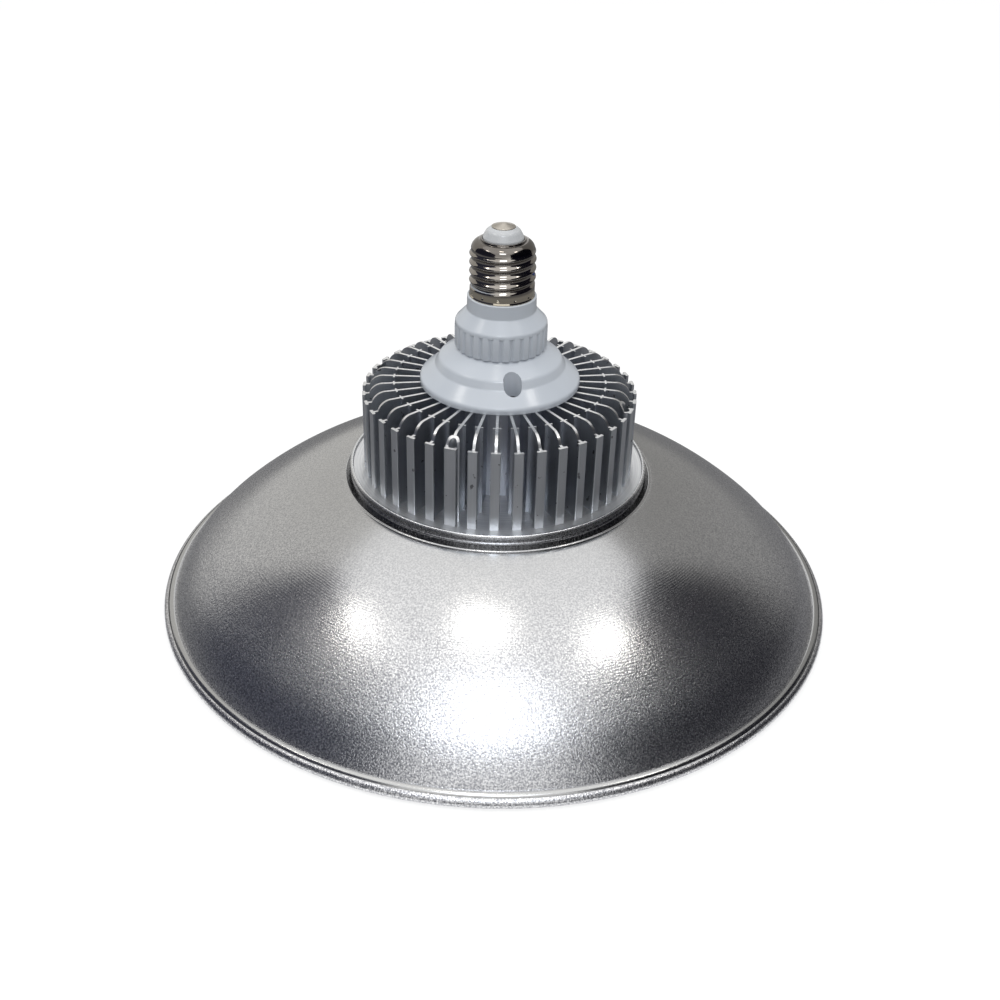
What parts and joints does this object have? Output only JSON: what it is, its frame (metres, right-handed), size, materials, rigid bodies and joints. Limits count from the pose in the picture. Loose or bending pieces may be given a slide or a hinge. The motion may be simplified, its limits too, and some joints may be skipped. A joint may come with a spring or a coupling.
{
  "type": "high bay light",
  "caption": "LED high bay light that screws into an E27 lampholder: a spun reflector shade under a round finned heat sink and a moulded cap housing.",
  "frame": {"origin": "on the light's axis, at the level of the shade's rim on which it stands", "axes": "+Z along the light's axis, from the rim to the cap; the first fin points along -Y"},
  "size_m": [0.29, 0.29, 0.1656],
  "materials": {
    "spun_aluminium": "spun, satin, with faint turning lines",
    "frosted_lens": "frosted diffuser",
    "turned_aluminium": "turned bright",
    "silicone_pad": "soft silicone",
    "white_board": "white solder mask",
    "led_phosphor": "yellow phosphor",
    "extruded_aluminium": "extruded, dark between the fins, bright on cut edges",
    "grey_plastic": "moulded, fine satin",
    "screw_steel": "zinc-plated steel",
    "nickel_shell": "nickel-plated, mirror bright",
    "white_insulator": "white, smooth",
    "contact_metal": "nickel-plated, dull",
    "green_board": "green solder mask",
    "ferrite": "dark ferrite and tape",
    "black_sleeve": "black sleeve",
    "yellow_film": "yellow case",
    "wire_red": "red insulation",
    "wire_blue": "blue insulation"
  },
  "bodies": {
    "root": {"reflector_shade": "spun_aluminium", "lens": "frosted_lens", "base_plate": "turned_aluminium", "thermal_pad": "silicone_pad", "led_board": "white_board", "led_packages": "led_phosphor", "heat_sink": "extruded_aluminium", "cap_housing": "grey_plastic", "housing_screws": "screw_steel", "screw_shell": "nickel_shell", "cap_insulator": "white_insulator", "centre_contact": "contact_metal", "driver_board": "green_board", "transformer": "ferrite", "output_capacitor": "black_sleeve", "input_capacitor": "black_sleeve", "line_inductor": "ferrite", "switching_transistor": "black_sleeve", "film_capacitor": "yellow_film", "bridge_rectifier": "black_sleeve", "fuse": "black_sleeve", "led_wires": "wire_red", "live_wire": "wire_red", "neutral_wire": "wire_blue"}
  },
  "joints": []
}
